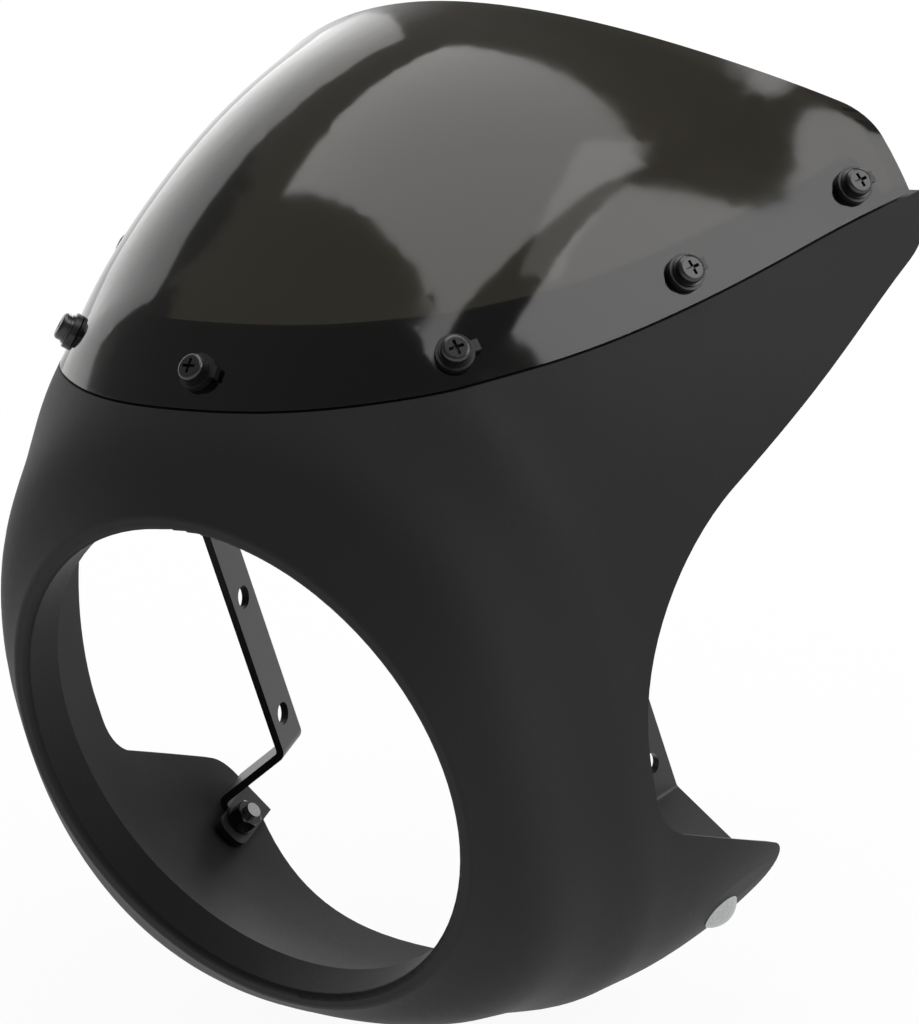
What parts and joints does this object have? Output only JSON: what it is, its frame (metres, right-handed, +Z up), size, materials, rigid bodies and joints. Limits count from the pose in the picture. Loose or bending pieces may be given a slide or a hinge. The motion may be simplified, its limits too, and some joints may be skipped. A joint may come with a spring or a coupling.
{
  "type": "motorbike headlight cowl",
  "caption": "Bullet-shaped motorbike headlight cowl: moulded shell with a round lamp opening, smoked windscreen screwed to a flange, and bent steel brackets inside.",
  "frame": {"origin": "on the lamp's axis, where the straight wall of the lamp opening begins behind the lip", "axes": "the lamp looks along -Y; +Z is up as on the bike; +X is the right side seen from the front with +Z up, and X = 0 is the plane of symmetry"},
  "size_m": [0.3186, 0.243, 0.3341],
  "materials": {
    "black_abs": "matte",
    "smoked_acrylic": "gloss",
    "black_steel": "satin",
    "black_nylon": "satin",
    "zinc_steel": "satin",
    "coated_steel": "satin",
    "black_rubber": "matte"
  },
  "bodies": {
    "root": {"cowl_shell": "black_abs", "windscreen": "smoked_acrylic", "screen_screws": "black_steel", "screen_flat_washers": "black_steel", "screen_cushion_washers": "black_nylon", "screen_backing_washers": "zinc_steel", "screen_nuts": "zinc_steel", "bracket_right": "coated_steel", "bracket_left": "coated_steel", "bracket_pads": "black_rubber", "bracket_bolts": "zinc_steel", "bracket_washers": "black_steel", "bracket_nuts": "black_steel"}
  },
  "joints": []
}
